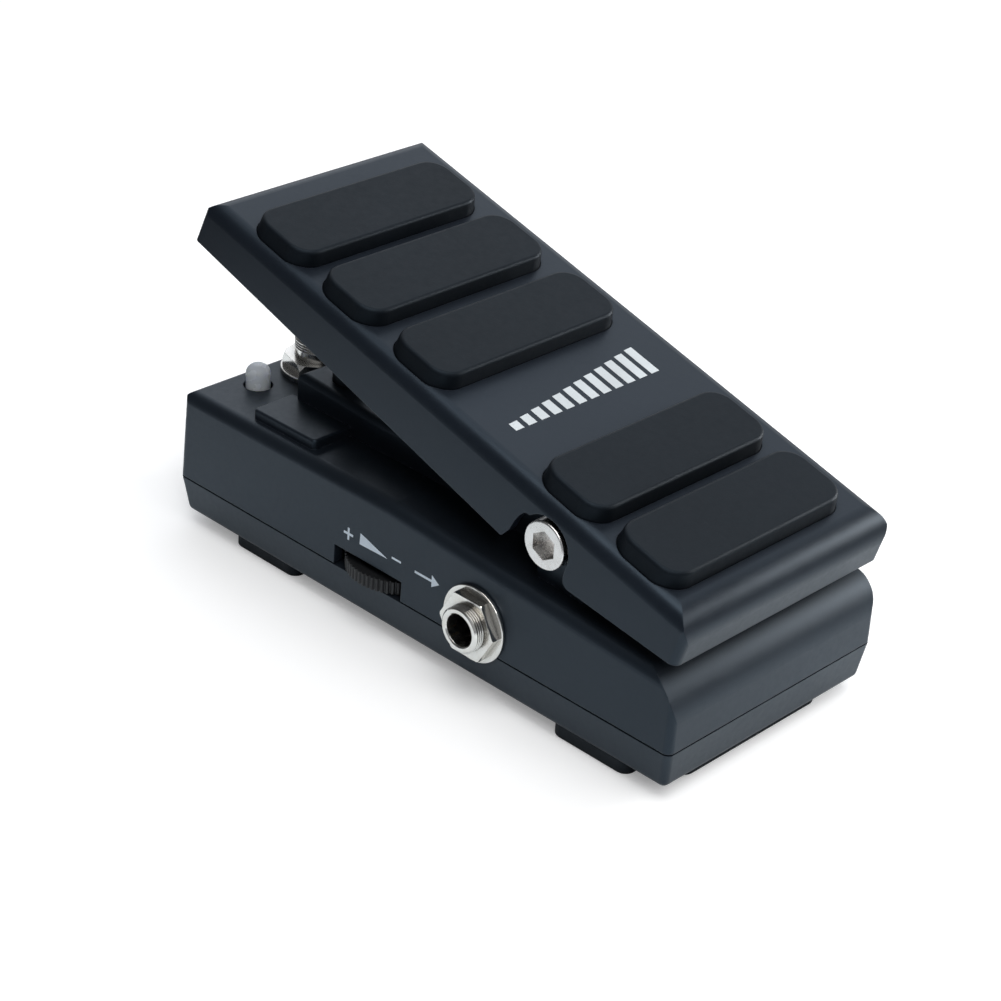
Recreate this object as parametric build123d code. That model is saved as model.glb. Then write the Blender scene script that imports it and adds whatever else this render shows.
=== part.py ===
from build123d import *
import os
from math import sin, cos, tan, acos, pi, radians, sqrt

# Volume pedal: a low two-part metal case on two rubber feet carries a rocking treadle,
# which turns a volume control through a pair of gears.  Millimetres, angles in degrees.
# Origin: centre of the footprint on the floor.
# +X = player's right, +Y = toward the toe, +Z = up.
# The treadle frame has its origin on the pivot axis and Y along the treadle plate.

SIDES = (-1, 1)

# Case and bottom cover
LENGTH, WIDTH = 130.8, 57.2    # at the split line
FOOT_T = 3.0                   # thickness of the rubber feet
COVER_TOP = 10.65              # top rim of the bottom cover
COVER_R = 1.4                  # rounding of its outer edges
COVER_DRAFT = 8.0
CASE_BOT, CASE_TOP = 10.95, 29.7   # lower rim and flat top of the upper case
SIDE_DRAFT = 1.2
WALL = 2.2
SLOPE_Y, SLOPE = 5.0, 3.6      # heelward of this Y the case top slopes down
HEEL_R = 9.0                   # rounding of the heel end
CASE_R = 1.4                   # rounding of the upright corners
CASE_EDGE_R = 2.5              # rounding of the long top edges
CASE_TOE_R = 1.7               # rounding of the toe top edge
CASE_LEAN = 1.1                # how far the toe end leans back over its height

# Treadle, in its own frame apart from the pivot's place
TILT = 15.6                    # resting tilt, toe up
TRAVEL = 17.0                  # travel down from rest
PIVOT_Y, PIVOT_Z = -33.28, 38.09   # pivot axis, parallel to X
TREADLE_TOP = 8.72             # top plane
TOE_Y, TOE_TOP_Y = 97.56, 96.2     # toe end at the skirt edge and at the top
TOE_EDGE_Z = -0.8              # skirt edge at the toe
HEEL_Y = -32.60
SKIRT_BOT = -5.2               # lowest level of the skirt
TREADLE_W = 56.6               # at the skirt edge
PLATE_T, SKIRT_T = 2.4, 1.8
PLATE_UNDER = TREADLE_TOP - PLATE_T
TREADLE_DRAFT = 0.5            # of the long sides
HEEL_CORNER_R, TOE_CORNER_R = 1.6, 1.1     # upright corners
TREADLE_EDGE_R = 3.0           # long top edges
TREADLE_HEEL_R, TREADLE_TOE_R = 5.5, 3.2   # top edges across the ends

# Hinge
LUG_IN, LUG_OUT = 20.8, 23.2   # hinge lugs of the case, |x|
LUG_R = 5.6
AXLE_R = 3.5
HUB_IN, HUB_OUT = 10.5, 19.9   # hinge hubs of the treadle, |x|
BOLT_HEAD_R = 4.65
BOLT_FACE = 28.4               # outer face of the bolt heads, |x|

# Rubber pads on the treadle
PAD_W, PAD_L, PAD_T, PAD_R = 48.1, 15.7, 3.2, 5.0
PAD_SINK = 0.5                 # depth of their pockets
PAD_GAP = 0.2                  # pockets are larger by this
PAD_DRAFT = 9.0
PAD_X = -2.2                   # a little toward the player's left
PAD_Y = [79.2, 60.0, 40.1, 0.65, -17.8]

# Centre block on the case top, with a low shelf beside it
BLOCK_HW = 15.5                # half width
BLOCK_Y0, BLOCK_Y1 = -24.0, 45.0
BLOCK_TOP = 35.9
BLOCK_KNEE_Y = 24.0            # toeward of this the block rises
BLOCK_TOE_TOP = 37.4
BLOCK_WALL = 1.8
SHELF_X = 25.0                 # outer side, |x|
SHELF_TOP = CASE_TOP + 2.0

# Stops that limit the treadle
STOP_R = 3.5
HEEL_STOP_X, HEEL_STOP_Y, HEEL_STOP_SEAT = 10.0, -52.0, 34.0
TOE_STOP_X, TOE_STOP_Y, TOE_STOP_SEAT = 9.0, 37.0, 36.0

# Circuit board and screw places
PCB_Z0 = 7.8
PCB_TOP = PCB_Z0 + 1.6
COVER_SCREWS = [(22.2, -58.0), (-22.2, -58.0), (22.2, 53.5), (-22.2, 53.5)]
BOARD_SCREWS = [(20.0, -44.0), (-20.0, -44.0), (20.0, 42.0), (-20.0, 42.0)]

# Plug sockets
JACK_Y, JACK_Z = -18.4, 15.4
JACK_TIP = 32.8                # sleeve mouth, |x|
JACK_BORE_R = 3.2              # for a 6.35 mm plug
JACK_BODY_IN, JACK_BODY_OUT = 4.6, 25.5
JACK_R = 4.5                   # threaded sleeve
JACK_SLOT_R = JACK_R + 0.15
NUT_IN = WIDTH / 2 + 0.6       # nut faces, |x|
NUT_OUT = WIDTH / 2 + 2.3
WASHER_R = 7.6

# Thumbwheel, foot switch, lamp, power socket
WHEEL_X, WHEEL_Y, WHEEL_R = -19.3, 10.1, 11.0
WHEEL_Z0, WHEEL_Z1 = 11.0, 13.6
SWITCH_X, SWITCH_Y = -0.7, 54.6
SWITCH_BODY_TOP = CASE_TOP - WALL - 0.02
SWITCH_WASHER_TOP = 30.9
SWITCH_R = 5.4                 # threaded bushing
PLUNGER_R, PLUNGER_TOP = 3.4, 41.0
PLUNGER_BORE_R = PLUNGER_R + 0.06
LAMP_X, LAMP_Y = -14.9, 57.5
LAMP_R, LAMP_TOP, LAMP_FOOT = 2.5, 34.3, 26.0
POWER_X, POWER_Z = 13.6, 17.5

# Gears from the treadle to the volume control
MODULE, PRESSURE_ANGLE = 0.75, 25.0
ADDENDUM, DEDENDUM = 0.9, 1.25     # in modules
BACKLASH = 0.10
PINION_TEETH, SECTOR_TEETH = 14, 84
MESH_DIR = -25.0               # direction pivot -> pinion, from +Y toward +Z
PINION_R = MODULE * PINION_TEETH / 2
SECTOR_R = MODULE * SECTOR_TEETH / 2
PINION_Y = PIVOT_Y + (PINION_R + SECTOR_R) * cos(radians(MESH_DIR))
PINION_Z = PIVOT_Z + (PINION_R + SECTOR_R) * sin(radians(MESH_DIR))
SECTOR_SCREW_X, SECTOR_SCREW_Y = 6.0, 22.5     # treadle frame

# Volume control
POT_R = 8.0
POT_BUSH_R = 3.5
POT_WALL_X0, POT_WALL_X1 = 4.2, 6.2


# ------------------------------------------------------------------- helpers
def box(x0, x1, y0, y1, z0, z1):
    """Box between pairs of limits; each pair may come in either order."""
    centre = Pos((x0 + x1) / 2, (y0 + y1) / 2, (z0 + z1) / 2)
    return centre * Box(abs(x1 - x0), abs(y1 - y0), abs(z1 - z0))


def cyl_z(x, y, z0, z1, r):
    return Pos(x, y, (z0 + z1) / 2) * Cylinder(r, z1 - z0)


def cyl_x(y, z, x0, x1, r):
    """Cylinder along X; x0 and x1 may come in either order."""
    return Pos((x0 + x1) / 2, y, z) * (Rot(0, 90, 0) * Cylinder(r, abs(x1 - x0)))


def cyl_y(x, z, y0, y1, r):
    return Pos(x, (y0 + y1) / 2, z) * (Rot(90, 0, 0) * Cylinder(r, y1 - y0))


def poly(points):
    return Polygon(*points, align=None)


def prism_x(sketch, x0, x1):
    """Sketch given in (y, z), extruded from x0 to x1."""
    return Pos(x0, 0, 0) * extrude(Plane.YZ * sketch, amount=x1 - x0)


def hexagon(across_flats, turn=0.0):
    return Rot(0, 0, turn) * RegularPolygon(across_flats / 2, 6, major_radius=False)


def hex_x(y, z, x0, x1, across_flats, turn=0.0):
    return Pos(x0, y, z) * extrude(Plane.YZ * hexagon(across_flats, turn), amount=x1 - x0)


def round_vertex(sketch, x, y, r):
    """Round the sketch vertex nearest to (x, y)."""
    nearest = sorted(sketch.vertices(), key=lambda v: (v.X - x) ** 2 + (v.Y - y) ** 2)[0]
    return fillet(nearest, r)


def edges_past(shape, limit, axis="Z"):
    return [e for e in shape.edges() if getattr(e.center(), axis) > limit]


def rise(edge):
    return abs((edge @ 0).Z - (edge @ 1).Z)


def try_fillet(shape, edges, radii):
    """Round with the first radius that gives a sound solid, else leave the edges sharp."""
    for r in radii:
        # guards against edge chains the kernel can't round at this radius
        try:
            rounded = fillet(edges, r)
            if rounded.is_valid and rounded.volume > 0:
                return rounded
        except Exception:
            pass
    return shape


def mirror_x(shape):
    return mirror(shape, about=Plane.YZ)


def on_treadle(shape):
    """From the treadle frame to its resting place."""
    return Pos(0, PIVOT_Y, PIVOT_Z) * (Rot(TILT, 0, 0) * shape)


def save(name, *bodies):
    solids = [solid for body in bodies for solid in body.solids()]
    piece = solids[0] if len(solids) == 1 else Compound(children=solids)
    piece.label = name
    export_step(piece, f"parts/{name}.step")


def grown(core, r):
    """The convex core swollen by r, so that all its edges are rounded."""
    return offset(core.solids()[0], r, kind=Kind.ARC)


def tapered_bar(width, width_z, draft, inset, z0, z1, y0, length):
    """Bar along Y whose sides, pulled in by inset, taper upward; width is met at width_z."""
    low, high = (width / 2 - inset - (z - width_z) * tan(radians(draft)) for z in (z0, z1))
    section = poly([(-low, z0), (low, z0), (high, z1), (-high, z1)])
    return Pos(0, y0, 0) * extrude(Plane.XZ * section, amount=-length)


def corner_cutter(x, y, z, dx, dy, r):
    """Cuts an upright corner, at (x, y) on height z, round; dx, dy: lean per unit height."""
    sx, sy = (1 if x > 0 else -1), (1 if y > 0 else -1)
    cx, cy = x - sx * r, y - sy * r
    size = r + 3
    square = Pos(cx + sx * size / 2, cy + sy * size / 2) * Rectangle(size, size)
    low = Pos(-20 * dx, -20 * dy, z - 20) * (square - Pos(cx, cy) * Circle(r))
    axis = Vector(dx, dy, 1).normalized()
    return extrude(low, amount=60 * sqrt(1 + dx * dx + dy * dy), dir=axis)


def cross_recess(screw, x, y, z0, z1, half_length, half_width):
    screw -= box(x - half_length, x + half_length, y - half_width, y + half_width, z0, z1)
    screw -= box(x - half_width, x + half_width, y - half_length, y + half_length, z0, z1)
    return screw


# ---------------------------------------------------------------- upper case
def side_profile(inset):
    """Long section of the upper case, pulled in by inset on every side."""
    y0, y1 = -LENGTH / 2 + inset, LENGTH / 2 - inset
    top = CASE_TOP - inset
    heel_top = top - (SLOPE_Y - y0) * tan(radians(SLOPE))
    lean = CASE_LEAN * (top - CASE_BOT) / (CASE_TOP - CASE_BOT)
    sketch = poly([(y0, CASE_BOT - 12), (y1, CASE_BOT - 12), (y1, CASE_BOT),
                   (y1 - lean, top), (SLOPE_Y, top), (y0, heel_top)])
    sketch = round_vertex(sketch, y0, heel_top, HEEL_R - inset)
    return round_vertex(sketch, y1 - lean, top, max(CASE_TOE_R - inset, 0.4))


def case_outside():
    z0, reach = CASE_BOT - 12, 95
    bar = tapered_bar(WIDTH, CASE_BOT, SIDE_DRAFT, CASE_EDGE_R, z0, CASE_TOP + 4,
                      -reach, 2 * reach)
    top = CASE_TOP - CASE_EDGE_R
    heel_top = top - (SLOPE_Y + reach) * tan(radians(SLOPE))
    bar &= prism_x(poly([(-reach, z0), (reach, z0), (reach, top), (SLOPE_Y, top),
                         (-reach, heel_top)]), -40, 40)
    body = grown(bar, CASE_EDGE_R) & prism_x(side_profile(0), -40, 40)
    body &= box(-60, 60, -90, 90, CASE_BOT - 6, 60)
    side_run = tan(radians(SIDE_DRAFT))
    toe_run = CASE_LEAN / (CASE_TOP - CASE_BOT)
    for side in SIDES:
        for y, dy in ((-LENGTH / 2, 0.0), (LENGTH / 2, -toe_run)):
            body -= corner_cutter(side * WIDTH / 2, y, CASE_BOT, -side * side_run, dy, CASE_R)
    return body & box(-60, 60, -90, 90, CASE_BOT, 60)


def case_inside():
    plan = RectangleRounded(WIDTH - 2 * WALL, LENGTH - 2 * WALL, 0.8)
    body = Pos(0, 0, CASE_BOT) * extrude(plan, amount=CASE_TOP - CASE_BOT + 2, taper=SIDE_DRAFT)
    body += Pos(0, 0, CASE_BOT - 2) * extrude(plan, amount=2)
    return body & prism_x(side_profile(WALL), -40, 40)


def centre_block():
    z0 = CASE_TOP - 3.0
    block = prism_x(poly([(BLOCK_Y0, z0), (BLOCK_Y1, z0), (BLOCK_Y1, BLOCK_TOE_TOP),
                          (BLOCK_KNEE_Y, BLOCK_TOP), (BLOCK_Y0, BLOCK_TOP)]),
                    -BLOCK_HW, BLOCK_HW)
    # all top edges but the knee line
    rim = [e for e in edges_past(block, BLOCK_TOP - 0.1)
           if not (abs(e.center().Y - BLOCK_KNEE_Y) < 0.1 and abs(e.center().X) < 0.1)]
    return try_fillet(block, rim, [1.4, 1.0, 0.6])


def left_shelf():
    shelf = box(-SHELF_X, -BLOCK_HW + 0.5, 29.5, 47.3, CASE_TOP - 0.6, SHELF_TOP)
    upright = [e for e in shelf.edges() if e.center().X < -SHELF_X + 0.1 and rise(e) > 1.5]
    shelf = fillet(upright, 1.0)
    rim = [e for e in edges_past(shelf, SHELF_TOP - 0.01) if e.center().X < -BLOCK_HW]
    return try_fillet(shelf, rim, [0.5, 0.3])


def case_openings(case):
    # plug sockets drop into slots that are open at the split line
    for side in SIDES:
        x0, x1 = side * 20.0, side * 40.0
        case -= cyl_x(JACK_Y, JACK_Z, x0, x1, JACK_SLOT_R)
        case -= box(x0, x1, JACK_Y - JACK_SLOT_R, JACK_Y + JACK_SLOT_R, CASE_BOT - 3, JACK_Z)
    # thumbwheel, foot switch, lamp and power socket
    case -= box(-40, -22, WHEEL_Y - 9.2, WHEEL_Y + 9.2, 5, 15.05)
    case -= cyl_z(SWITCH_X, SWITCH_Y, 20, 34, SWITCH_R + 0.15)
    case -= cyl_z(LAMP_X, LAMP_Y, 20, 34, 3.0)
    case -= cyl_y(POWER_X, POWER_Z, 55, 75, 4.1)
    # slot for the sector gear, hole for the volume control
    case -= box(-2.6, 2.6, -17.5, 3.6, BLOCK_TOP - 3.0, BLOCK_TOP + 2)
    case -= cyl_x(PINION_Y, PINION_Z, 3.0, 7.0, 3.6)
    for x, y in COVER_SCREWS:
        case -= cyl_z(x, y, 5.0, 17.0, 1.45)
    return case


def upper_case():
    hollow_x = BLOCK_HW - BLOCK_WALL
    case = case_outside() - case_inside() + centre_block()
    case -= box(-hollow_x, hollow_x, BLOCK_Y0 + BLOCK_WALL, BLOCK_Y1 - BLOCK_WALL,
                CASE_TOP - 4.5, BLOCK_TOP - BLOCK_WALL)
    shelf = left_shelf()
    case = case + shelf + mirror_x(shelf)
    # hinge lugs
    for side in SIDES:
        x0, x1 = side * LUG_IN, side * LUG_OUT
        case += (cyl_x(PIVOT_Y, PIVOT_Z, x0, x1, LUG_R)
                 + box(x0, x1, PIVOT_Y - LUG_R, PIVOT_Y + LUG_R, 26.8, PIVOT_Z))
    case -= cyl_x(PIVOT_Y, PIVOT_Z, -30, 30, AXLE_R + 0.02)
    # pockets for the toe stops, posts for the heel stops
    for side in SIDES:
        case -= cyl_z(side * TOE_STOP_X, TOE_STOP_Y, TOE_STOP_SEAT, 42.0, STOP_R + 0.05)
    for side in SIDES:
        case += cyl_z(side * HEEL_STOP_X, HEEL_STOP_Y, 24.4, HEEL_STOP_SEAT, 4.6)
    # seats for the socket washers
    for side in SIDES:
        seat = cyl_x(JACK_Y, JACK_Z, side * 26.5, side * WIDTH / 2, 7.5)
        case += seat & box(-40, 40, -60, 60, CASE_BOT, 40)
    # cover screw posts
    for x, y in COVER_SCREWS:
        case += cyl_z(x, y, 5.35, 28.0 if y > 0 else 23.4, 2.9)
    # wall that carries the volume control
    case += box(POT_WALL_X0, POT_WALL_X1, -9.5, 9.5, 13.0, BLOCK_TOP - 1.0)
    return case_openings(case)


# ------------------------------------------------------ bottom cover and feet
def cover_lip():
    """Raised lip that tucks inside the upper case."""
    width, length = WIDTH - 2 * WALL, LENGTH - 2 * WALL
    outline = RectangleRounded(width - 0.7, length - 0.7, 1.4)
    opening = RectangleRounded(width - 3.1, length - 3.1, 1.0)
    lip = Pos(0, 0, 8.0) * extrude(outline, amount=4.3)
    lip -= Pos(0, 0, 7.0) * extrude(opening, amount=7)
    # gaps for the plug sockets, the thumbwheel and the screw posts
    lip -= box(-40, 40, JACK_Y - 7.4, JACK_Y + 7.4, 9.4, 20)
    lip -= box(-40, -15, WHEEL_Y - 11.6, WHEEL_Y + 11.6, 9.6, 20)
    for x, y in COVER_SCREWS:
        lip -= cyl_z(x, y, 5, 20, 3.2)
    return lip


def bottom_cover():
    # tapered core, drawn larger above the rim and trimmed there after rounding
    above = 6
    inset = COVER_R / cos(radians(COVER_DRAFT))
    spread = 2 * above * tan(radians(COVER_DRAFT))
    plan = Rectangle(WIDTH - 2 * inset + spread, LENGTH - 2 * inset + spread)
    depth = COVER_TOP + above - FOOT_T - COVER_R
    core = Pos(0, 0, COVER_TOP + above) * extrude(plan, amount=-depth, taper=COVER_DRAFT)
    cover = grown(core, COVER_R) & box(-60, 60, -90, 90, 0, COVER_TOP)
    plan_in = RectangleRounded(WIDTH - 2 * WALL - 1.0, LENGTH - 2 * WALL - 1.0, 1.4)
    cover -= Pos(0, 0, FOOT_T + 2.2) * extrude(plan_in, amount=12)
    cover += cover_lip()
    for x, y in BOARD_SCREWS:
        cover += cyl_z(x, y, FOOT_T + 2.0, PCB_Z0, 2.6)
        cover -= cyl_z(x, y, FOOT_T + 1.6, PCB_Z0 + 1, 1.02)
    for x, y in COVER_SCREWS:
        cover -= cyl_z(x, y, FOOT_T - 1, FOOT_T + 6, 1.6)
        cover -= Pos(x, y, FOOT_T + 0.65) * Cone(2.7, 1.4, 1.3)
    return cover


def cover_screw(x, y):
    """Countersunk, head down."""
    screw = Pos(x, y, FOOT_T + 0.1 + 0.6) * Cone(2.5, 1.3, 1.2)
    screw += cyl_z(x, y, FOOT_T + 1.2, 14.5, 1.4)
    return cross_recess(screw, x, y, FOOT_T - 1, FOOT_T + 0.9, 1.5, 0.3)


def foot(y_in, y_out, notch, half_width):
    """Full-width rubber strip, its two outer corners notched for the screws."""
    end = 1 if y_out > y_in else -1
    strip = box(-half_width, half_width, y_in, y_out, 0, FOOT_T)
    for side in SIDES:
        strip -= box(side * 18.9, side * 40, y_out - end * notch, y_out + end * notch * 2,
                     -1, FOOT_T + 1)
    strip = try_fillet(strip, [e for e in strip.edges() if rise(e) > 2], [2.2, 1.5, 1.0])
    return try_fillet(strip, [e for e in strip.edges() if e.center().Z < 0.01], [0.5, 0.3])


# ------------------------------------------------------------------- treadle
# Lower edge of the skirt, (y, z) in the treadle frame, closed below: shallow at the toe,
# a tooth before the pivot, a window for the bolt head, shallow again at the heel.
SKIRT_TOOTH = (9.12, -5.08)
SKIRT_EDGE = [
    (104, -20), (104, -0.47), (96.94, -0.79), SKIRT_TOOTH,
    (7.9, -2.6), (7.45, -0.2), (6.9, 1.5), (6.0, 2.9), (4.8, 3.2), (0, 0),
    (-5.7, 0), (-5.75, -2.6), (-6.2, -3.8), (-7.3, -4.3),
    (-32.42, -1.09), (-42, 0.13), (-42, -20),
]


def treadle_outside():
    length = TOE_Y - HEEL_Y
    bar = tapered_bar(TREADLE_W, SKIRT_BOT, TREADLE_DRAFT, TREADLE_EDGE_R, SKIRT_BOT - 12.0,
                      TREADLE_TOP - TREADLE_EDGE_R, HEEL_Y - 30, length + 60)
    z0 = SKIRT_BOT - 8.0
    lean = (TOE_Y - TOE_TOP_Y) / (TREADLE_TOP - TOE_EDGE_Z)
    profile = poly([(HEEL_Y, z0), (TOE_Y - (z0 - TOE_EDGE_Z) * lean, z0),
                    (TOE_TOP_Y, TREADLE_TOP), (HEEL_Y, TREADLE_TOP)])
    profile = round_vertex(profile, HEEL_Y, TREADLE_TOP, TREADLE_HEEL_R)
    profile = round_vertex(profile, TOE_TOP_Y, TREADLE_TOP, TREADLE_TOE_R)
    body = grown(bar, TREADLE_EDGE_R) & prism_x(profile, -40, 40)
    run = tan(radians(TREADLE_DRAFT))
    toe_half = TREADLE_W / 2 - (TOE_EDGE_Z - SKIRT_BOT) * run
    for side in SIDES:
        body -= corner_cutter(side * TREADLE_W / 2, HEEL_Y, SKIRT_BOT, -side * run, 0.0,
                              HEEL_CORNER_R)
        body -= corner_cutter(side * toe_half, TOE_Y, TOE_EDGE_Z, -side * run, -lean,
                              TOE_CORNER_R)
    return body


def treadle_inside():
    z0 = SKIRT_BOT - 1
    plan = RectangleRounded(TREADLE_W - 2 * SKIRT_T, TOE_Y - HEEL_Y - 4.0, 2.2)
    room = Pos(0, (TOE_Y + HEEL_Y) / 2, z0) * extrude(
        plan, amount=PLATE_UNDER - SKIRT_BOT + 1, taper=TREADLE_DRAFT)
    heel, toe = HEEL_Y + 2.4, TOE_TOP_Y - 2.2
    profile = poly([(HEEL_Y + 1.0, SKIRT_BOT - 2), (TOE_Y - 1.8, SKIRT_BOT - 2),
                    (toe, PLATE_UNDER), (heel, PLATE_UNDER)])
    profile = round_vertex(profile, heel, PLATE_UNDER, 3.6)
    profile = round_vertex(profile, toe, PLATE_UNDER, 1.4)
    return room & prism_x(profile, -40, 40)


def treadle():
    shell = treadle_outside() - treadle_inside()
    shell -= prism_x(round_vertex(poly(SKIRT_EDGE), *SKIRT_TOOTH, 0.7), -40, 40)
    shell -= cyl_x(0, 0, -40, 40, 5.75)
    # hinge hubs, joined to the plate by webs
    for side in SIDES:
        x0, x1 = side * HUB_IN, side * HUB_OUT
        shell += (cyl_x(0, 0, x0, x1, 6.3)
                  + box(x0, x1, -4.4, 4.4, 0, TREADLE_TOP - 1.6))
    shell -= cyl_x(0, 0, -22, 22, 4.78)
    # stiffening ribs along the plate
    for side in SIDES:
        shell += box(side * 17.4, side * 18.8, 3.0, TOE_Y - 3.0,
                     PLATE_UNDER - 2.2, TREADLE_TOP - 1.4)
    # screw bosses for the sector gear
    for side in SIDES:
        x = side * SECTOR_SCREW_X
        shell += cyl_z(x, SECTOR_SCREW_Y, 3.85, TREADLE_TOP - 1.6, 2.8)
        shell -= cyl_z(x, SECTOR_SCREW_Y, 3.0, 7.9, 1.02)
    pocket = RectangleRounded(PAD_W + PAD_GAP, PAD_L + PAD_GAP, PAD_R)
    for y in PAD_Y:
        shell -= Pos(PAD_X, y, TREADLE_TOP - PAD_SINK) * extrude(pocket, amount=4)
    return shell


def tread_pad(y):
    plan = RectangleRounded(PAD_W, PAD_L, PAD_R)
    pad = Pos(PAD_X, y, TREADLE_TOP - PAD_SINK) * extrude(plan, amount=PAD_SINK)
    pad += Pos(PAD_X, y, TREADLE_TOP) * extrude(plan, amount=PAD_T, taper=PAD_DRAFT)
    return try_fillet(pad, edges_past(pad, TREADLE_TOP + PAD_T - 0.01), [0.8, 0.5])


# --------------------------------------------------------------------- hinge
def pivot_axle():
    axle = cyl_x(PIVOT_Y, PIVOT_Z, -LUG_OUT, LUG_OUT, AXLE_R)
    for side in SIDES:
        axle -= cyl_x(PIVOT_Y, PIVOT_Z, side * 14.0, side * 30, 2.0)
    return axle


def pivot_bolt(side):
    """Round-headed bolt with a hexagon socket."""
    bolt = cyl_x(PIVOT_Y, PIVOT_Z, side * LUG_OUT, side * BOLT_FACE, BOLT_HEAD_R)
    rim = [e for e in bolt.edges() if abs(abs(e.center().X) - BOLT_FACE) < 0.01]
    bolt = fillet(rim, 0.35)
    bolt += cyl_x(PIVOT_Y, PIVOT_Z, side * 16.5, side * (LUG_OUT + 0.5), 1.96)
    return bolt - hex_x(PIVOT_Y, PIVOT_Z, side * (BOLT_FACE - 2.3), side * 30, 5.0, 30.0)


def pivot_bushing(side):
    """Flanged sleeve in a treadle hub."""
    bushing = cyl_x(0, 0, side * 10.7, side * HUB_OUT, 4.75)
    bushing += cyl_x(0, 0, side * HUB_OUT, side * 20.65, 5.9)
    return bushing - cyl_x(0, 0, -30, 30, AXLE_R + 0.05)


# --------------------------------------------------------------------- stops
def stop(x, y, seat, tilt):
    """Domed post that meets the underside of the treadle plate at the given tilt."""
    angle = radians(tilt)
    along = (y - PIVOT_Y + PLATE_UNDER * sin(angle)) / cos(angle)
    plate_z = PIVOT_Z + along * sin(angle) + PLATE_UNDER * cos(angle)
    z = plate_z - (STOP_R + 0.03) / cos(angle)
    dome = Pos(x, y, z) * Sphere(STOP_R) & box(
        x - STOP_R, x + STOP_R, y - STOP_R, y + STOP_R, z - 0.01, z + STOP_R + 1)
    return cyl_z(x, y, seat, z, STOP_R) + dome


# ---------------------------------------------------------------- gear drive
def involute(angle):
    return tan(angle) - angle


def tooth(teeth, centre):
    """Points of one involute tooth about the angle centre (radians), root to tip to root."""
    pitch_r = MODULE * teeth / 2
    pressure = radians(PRESSURE_ANGLE)
    base_r = pitch_r * cos(pressure)
    half_pitch = pi / (2 * teeth) - BACKLASH / (2 * pitch_r)
    root_r, tip_r = pitch_r - DEDENDUM * MODULE, pitch_r + ADDENDUM * MODULE
    start = max(root_r, base_r)
    steps = 6
    radii = [root_r] + ([base_r] if base_r > root_r else [])
    radii += [start + (tip_r - start) * k / steps for k in range(1, steps + 1)]

    def half_angle(r):
        r = max(r, base_r)
        return half_pitch + involute(pressure) - involute(acos(base_r / r))

    def flank(r, sign):
        angle = centre + sign * half_angle(r)
        return r * cos(angle), r * sin(angle)

    return [flank(r, -1) for r in radii] + [flank(r, 1) for r in reversed(radii)]


def polar(r, degrees):
    return r * cos(radians(degrees)), r * sin(radians(degrees))


def pot_pinion():
    # a tooth gap faces the pivot
    first = radians(MESH_DIR + 180.0) + pi / PINION_TEETH
    points = []
    for k in range(PINION_TEETH):
        points += tooth(PINION_TEETH, first + 2 * pi * k / PINION_TEETH)
    gear = prism_x(poly(points), -1.8, 1.8) - cyl_x(0, 0, -5, 5, 3.0)
    return Pos(0, PINION_Y, PINION_Z) * gear


def sector_gear():
    low, high = -47.2, -16.9       # angular limits
    root_r = SECTOR_R - DEDENDUM * MODULE
    outline = [polar(root_r, low)]
    for k in range(-1, 6):
        outline += tooth(SECTOR_TEETH, radians(MESH_DIR - TILT) + 2 * pi * k / SECTOR_TEETH)
    outline.append(polar(root_r, high))
    outline += [(30.0, 2.6), (16.0, 2.6), (18.0, -8.0)]
    outline += [polar(24.5, angle) for angle in (-26, -32, -38, -43, low)]
    gear = prism_x(poly(outline), -1.6, 1.6)
    # mounting flange
    gear += box(-9.0, 9.0, 15.5, 31.0, 1.8, 3.8)
    for side in SIDES:
        gear -= cyl_z(side * SECTOR_SCREW_X, SECTOR_SCREW_Y, 0, 6, 1.2)
    return gear - cyl_x(21.5, -3.4, -5, 5, 2.2)


def sector_screw(side):
    x, y = side * SECTOR_SCREW_X, SECTOR_SCREW_Y
    screw = cyl_z(x, y, 0.6, 1.8, 2.0) + cyl_z(x, y, 1.7, 7.4, 1.0)
    return cross_recess(screw, x, y, 0.3, 1.2, 1.2, 0.25)


# ------------------------------------------------------------ volume control
def pot_cyl(x0, x1, r):
    """Cylinder on the axis of the volume control."""
    return cyl_x(PINION_Y, PINION_Z, x0, x1, r)


def pot_body():
    body = pot_cyl(POT_WALL_X1, 13.2, POT_R)
    body = fillet(edges_past(body, 13.1, "X"), 0.6)
    return body - pot_cyl(5, 7.9, 3.1)


def pot_nut():
    nut = hex_x(PINION_Y, PINION_Z, 2.6, POT_WALL_X0, 10.0)
    return nut - pot_cyl(0, 9, POT_BUSH_R + 0.02)


def pot_lead(dy):
    r = 0.35
    top = PINION_Z - sqrt(POT_R ** 2 - max(abs(dy) - r, 0) ** 2) - 0.02
    return cyl_z(9.8, PINION_Y + dy, PCB_TOP, top, r)


# ---------------------------------------------------------------- thumbwheel
def thumbwheel():
    ridges, groove = 64, 0.35
    pitch = 2 * pi / ridges
    root_r = WHEEL_R - groove
    # fraction of the ridge pitch, radius
    ridge = [(0.08, root_r), (0.32, WHEEL_R), (0.68, WHEEL_R), (0.92, root_r)]
    points = [(r * cos((k + f) * pitch), r * sin((k + f) * pitch))
              for k in range(ridges) for f, r in ridge]
    wheel = Pos(0, 0, WHEEL_Z0) * extrude(poly(points), amount=WHEEL_Z1 - WHEEL_Z0)
    # ring-shaped recess round the hub
    wheel -= (Pos(0, 0, WHEEL_Z1 + 0.2) * Cylinder(8.6, 1.6)
              - Pos(0, 0, WHEEL_Z1) * Cylinder(3.6, 4))
    wheel += cyl_z(0, 0, 9.9, WHEEL_Z0 + 0.2, 1.5)
    wheel -= cyl_z(0, 0, WHEEL_Z1 - 1.9, WHEEL_Z1 + 1, 0.72)
    return Pos(WHEEL_X, WHEEL_Y, 0) * wheel


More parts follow.
